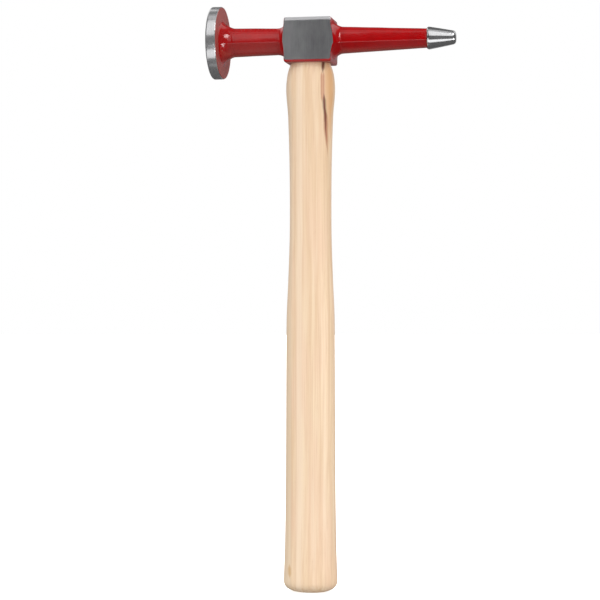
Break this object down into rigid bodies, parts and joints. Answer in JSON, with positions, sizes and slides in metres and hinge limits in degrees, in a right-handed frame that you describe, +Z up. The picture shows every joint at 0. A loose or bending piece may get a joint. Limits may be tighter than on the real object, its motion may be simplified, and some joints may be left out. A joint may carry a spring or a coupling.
{
  "type": "panel beating hammer",
  "caption": "Body worker's hammer with a round flat face, a long blunt round peen and a hickory handle, for shaping sheet metal.",
  "frame": {"origin": "centre of the small flat on the butt end of the handle", "axes": "+Z up the handle to the head, -X out of the round striking face, +X along the peen, Y across the handle"},
  "size_m": [0.1355, 0.04, 0.3236],
  "materials": {
    "ground_steel": "ground and satin polished",
    "red_enamel": "glossy",
    "hickory": "sanded with a satin lacquer",
    "wedge_wood": "cut flush and sanded",
    "wedge_steel": "ground flush"
  },
  "bodies": {
    "root": {"head_forging": "ground_steel", "red_enamel_coat": "red_enamel", "hickory_handle": "hickory", "wooden_wedge": "wedge_wood", "steel_wedge_face_side": "wedge_steel", "steel_wedge_peen_side": "wedge_steel"}
  },
  "joints": []
}
